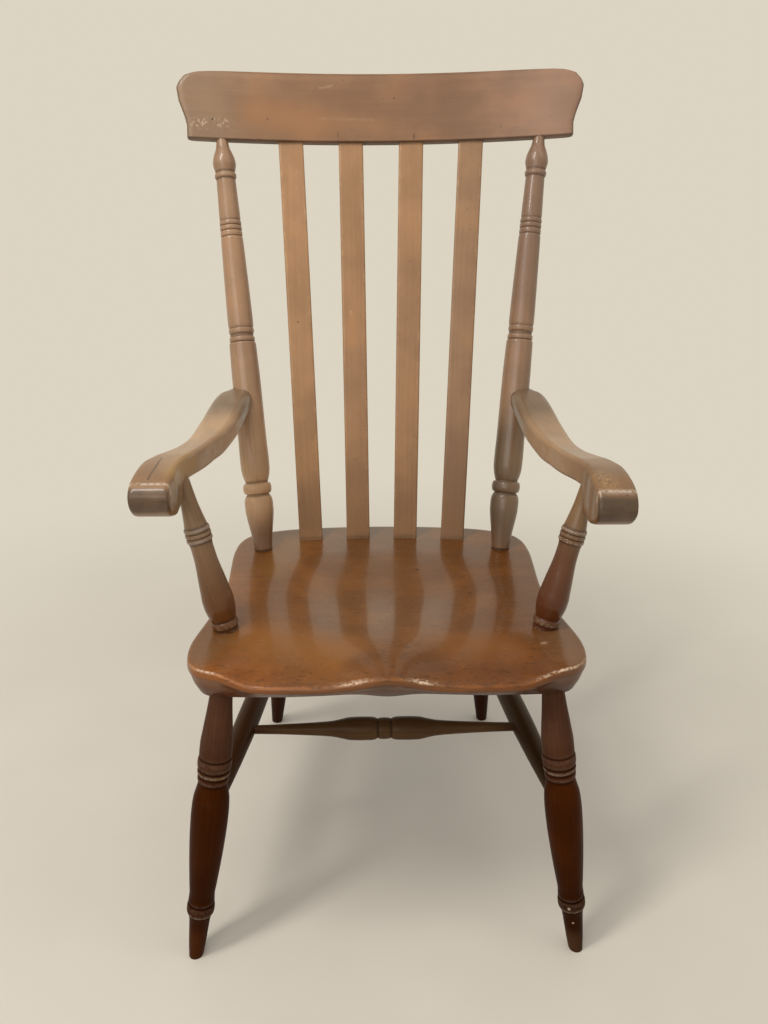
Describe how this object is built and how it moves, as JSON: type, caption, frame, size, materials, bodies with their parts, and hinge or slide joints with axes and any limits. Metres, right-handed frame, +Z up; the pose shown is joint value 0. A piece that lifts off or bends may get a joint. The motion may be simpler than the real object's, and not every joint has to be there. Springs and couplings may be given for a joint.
{
  "type": "wooden armchair",
  "caption": "Windsor armchair with a saddled plank seat, turned legs, stiles and arm posts, scrolled arms and flat laths under a curved crest rail.",
  "frame": {"origin": "on the floor under the middle of the chair's bounding box", "axes": "+Z up, -Y towards the front, where the sitter's knees are, and +X to the right as the chair is seen from the front"},
  "size_m": [0.608, 0.615, 1.135],
  "materials": {
    "crest_wood": "mid-brown stained elm or beech under an old, lightly worn satin varnish",
    "stile_wood": "light brown beech under a satin varnish",
    "lath_wood": "light brown beech under a satin varnish",
    "arm_wood": "mid-brown beech, varnish polished by hands and rubbed back to orange on the scrolls",
    "post_wood": "darker brown beech under a satin varnish",
    "seat_wood": "mid-brown elm plank under a glossy varnish, warmer and redder in the middle",
    "leg_wood": "dark brown stained beech under a satin varnish, worn orange at the feet",
    "stretcher_wood": "very dark brown stained beech under a satin varnish",
    "wedge_wood": "bare-cut hardwood, dull"
  },
  "bodies": {
    "root": {"seat": "seat_wood", "crest_rail": "crest_wood", "stile_left": "stile_wood", "stile_right": "stile_wood", "lath_1": "lath_wood", "lath_2": "lath_wood", "lath_3": "lath_wood", "lath_4": "lath_wood", "arm_left": "arm_wood", "arm_right": "arm_wood", "arm_post_left": "post_wood", "arm_post_right": "post_wood", "leg_front_left": "leg_wood", "leg_front_right": "leg_wood", "leg_rear_left": "leg_wood", "leg_rear_right": "leg_wood", "side_stretcher_left": "stretcher_wood", "side_stretcher_right": "stretcher_wood", "cross_stretcher": "stretcher_wood", "crest_peg_left": "wedge_wood", "crest_peg_right": "wedge_wood", "wedge_stile_left": "wedge_wood", "wedge_stile_right": "wedge_wood", "wedge_post_left": "wedge_wood", "wedge_post_right": "wedge_wood"}
  },
  "joints": []
}
